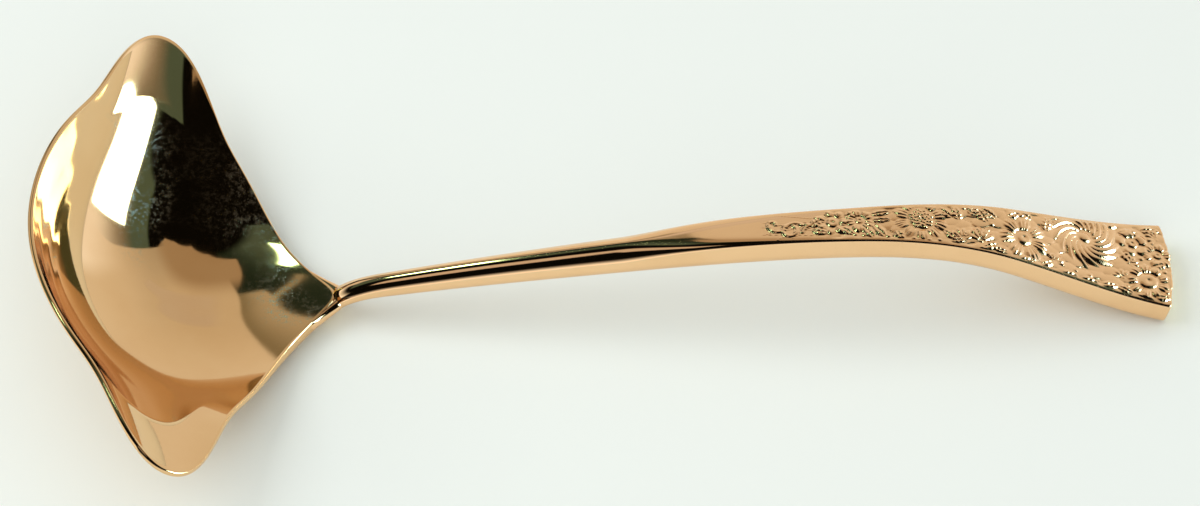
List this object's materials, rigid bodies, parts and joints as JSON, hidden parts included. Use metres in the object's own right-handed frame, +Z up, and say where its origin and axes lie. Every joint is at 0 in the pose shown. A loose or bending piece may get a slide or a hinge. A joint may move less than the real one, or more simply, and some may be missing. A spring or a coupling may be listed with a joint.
{
  "type": "gravy ladle",
  "caption": "Small gilt gravy ladle with a tilted bowl that has a pouring lip on each side, and a slim arched handle that widens to a flat end with floral relief.",
  "frame": {"origin": "on the table, under the middle of the ladle's bounding box", "axes": "+X towards the end of the handle, +Z up from the table, +Y towards one pouring lip"},
  "size_m": [0.168, 0.0804, 0.0238],
  "materials": {
    "gilt_bowl": "mirror-polished gold plate",
    "gilt_handle": "mirror-polished gold plate, struck floral relief on the end",
    "brazing_metal": "smooth braze, plated over"
  },
  "bodies": {
    "root": {"bowl": "gilt_bowl", "handle": "gilt_handle", "brazed_seam": "brazing_metal"}
  },
  "joints": []
}
